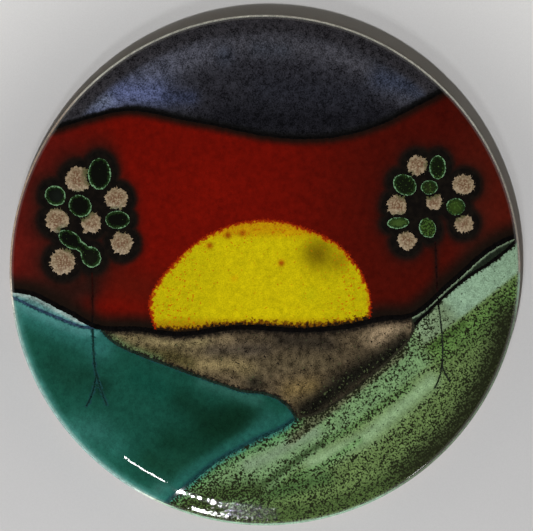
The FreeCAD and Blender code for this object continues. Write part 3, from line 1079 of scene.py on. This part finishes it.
def finish_foot_ring(material):
    """The foot ring keeps its CAD mesh and gets the clay's looks."""
    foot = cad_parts["foot_ring"]
    foot.data.materials.clear()
    foot.data.materials.append(material)
    foot.data.polygons.foreach_set("use_smooth", [True] * len(foot.data.polygons))
    foot.data.set_sharp_from_angle(angle=math.radians(FOOT_SHARP_ANGLE))


# ------ build
clay = fired_clay()
build_clay_body(clay)
finish_foot_ring(clay)
build_ground_glaze(cream_glaze())

green = green_glaze()
pool("sky_band", "sky_band_glaze", slate_blue_glaze(), sky_tones)
pool("red_sky", "red_sky_glaze", red_glaze(), red_tones)
pool("sun_disc", "sun_glaze", yellow_glaze(), sun_tones)
pool("hill_pool", "hill_glaze", brown_glaze(), hill_tones)
pool("teal_field", "teal_field_glaze", teal_glaze(), teal_tones)
pool("green_field", "green_field_glaze", green, green_tones)
pool("green_sliver", "green_sliver_glaze", green, green_sliver_tones)
pool("pale_sliver", "teal_sliver_glaze", pale_blue_glaze(), pale_sliver_tones)

trail = resist_line()
for node in LINES:
    line(node + "_trail", node, trail)

black = black_glaze()
crown("left_crown", "left_crown_ground", black)
crown("right_crown", "right_crown_ground", black)
blossom = blossom_glaze()
leaf = leaf_glaze()
dabs("left_blossom_dabs", "left_blossoms", blossom,
     BLOSSOM_GLAZE, BLOSSOM_FRAY, blossom_tones("left_leaves"))
dabs("right_blossom_dabs", "right_blossoms", blossom,
     BLOSSOM_GLAZE, BLOSSOM_FRAY, blossom_tones("right_leaves"))
dabs("left_leaf_dabs", "left_leaves", leaf,
     LEAF_GLAZE, LEAF_FRAY, left_leaf_tones)
dabs("right_leaf_dabs", "right_leaves", leaf,
     LEAF_GLAZE, LEAF_FRAY, right_leaf_tones)


# ------ stage
FLOOR_SIZE = 2.2
FLOOR_CELLS = 8
LENS = 249.3                   # in millimetres, for a picture 36 wide
CAMERA_PLACE = (0.00078, 0.00228, 1.814)


def direction(azimuth, elevation):
    """A unit vector from the object. Azimuth 0 is -Y and 90 is +X, in degrees."""
    turn = math.radians(azimuth)
    rise = math.radians(elevation)
    flat = math.cos(rise)
    return Vector((math.sin(turn) * flat, -math.cos(turn) * flat, math.sin(rise)))


def area_light(name, azimuth, elevation, distance, width, height, power):
    """A flat lamp that faces the object."""
    data = bpy.data.lights.new(name, "AREA")
    data.shape = "RECTANGLE"
    data.size = width
    data.size_y = height
    data.energy = power
    lamp = bpy.data.objects.new(name, data)
    away = direction(azimuth, elevation)
    lamp.location = away * distance
    lamp.rotation_mode = "QUATERNION"
    lamp.rotation_quaternion = away.to_track_quat("Z", "Y")
    bpy.context.scene.collection.objects.link(lamp)


def make_floor():
    """A pale paper floor with painted shade: darker round the plaque, brighter away from it."""
    stations = [FLOOR_SIZE * (n / FLOOR_CELLS - 0.5) / MM for n in range(FLOOR_CELLS + 1)]
    count = len(stations)
    places = [(x, y, 0.0) for y in stations for x in stations]
    faces = []
    for row in range(FLOOR_CELLS):
        for first in range(row * count, row * count + FLOOR_CELLS):
            faces.append((first, first + 1, first + count + 1, first + count))
    made = mesh_object("pale_floor", np.array(places), faces)
    paint = Paint("pale_paper", roughness=0.9)
    away = paint.node("ShaderNodeVectorMath", operation="DISTANCE")
    paint.put(away.inputs[0], paint.place)
    away.inputs[1].default_value = (0.0, -0.05, 0.0)
    # painted shade: the paper is darker near the plaque and brighter towards the corners
    out_of_painted_shade = paint.rise(away.outputs["Value"], 0.15, 0.25)
    tone = paint.mix(out_of_painted_shade, (165, 165, 166), (216, 216, 217))
    paint.colour = paint.mottled(tone, 0.12, 0.0, 46)
    made.data.materials.append(paint.finish(paint.grain(0.8, seed=47, detail=2), depth=0.02))


def make_world():
    """A warm low ring of light round a dark ceiling."""
    world = bpy.data.worlds.new("studio")
    world.use_nodes = True
    tree = world.node_tree
    tree.nodes.clear()
    output = tree.nodes.new("ShaderNodeOutputWorld")
    background = tree.nodes.new("ShaderNodeBackground")
    place = tree.nodes.new("ShaderNodeTexCoord")
    split = tree.nodes.new("ShaderNodeSeparateXYZ")
    ramp = tree.nodes.new("ShaderNodeValToRGB")
    tree.links.new(place.outputs["Generated"], split.inputs[0])
    tree.links.new(split.outputs["Z"], ramp.inputs[0])
    tree.links.new(ramp.outputs[0], background.inputs[0])
    tree.links.new(background.outputs[0], output.inputs[0])
    low, high = ramp.color_ramp.elements
    low.position = 0.33
    low.color = (0.75, 0.70, 0.62, 1)
    high.position = 0.50
    high.color = (0.02, 0.02, 0.02, 1)
    bpy.context.scene.world = world


def make_camera():
    """A camera straight above the face."""
    data = bpy.data.cameras.new("camera")
    data.lens = LENS
    data.sensor_width = 36
    camera = bpy.data.objects.new("camera", data)
    camera.location = CAMERA_PLACE
    bpy.context.scene.collection.objects.link(camera)
    bpy.context.scene.camera = camera


make_floor()
make_world()
area_light("key", -17.6, 55.5, 2.2, 0.03, 0.09, 29.8)
area_light("strip", -31, 59.5, 1.6, 0.135, 0.05, 0.9)
area_light("rim_strip", -13.4, 37.5, 1.6, 0.17, 0.2, 5.0)
area_light("glint", 37, 11, 1.6, 0.14, 0.08, 1.6)
make_camera()
bpy.context.scene.view_settings.view_transform = "Standard"
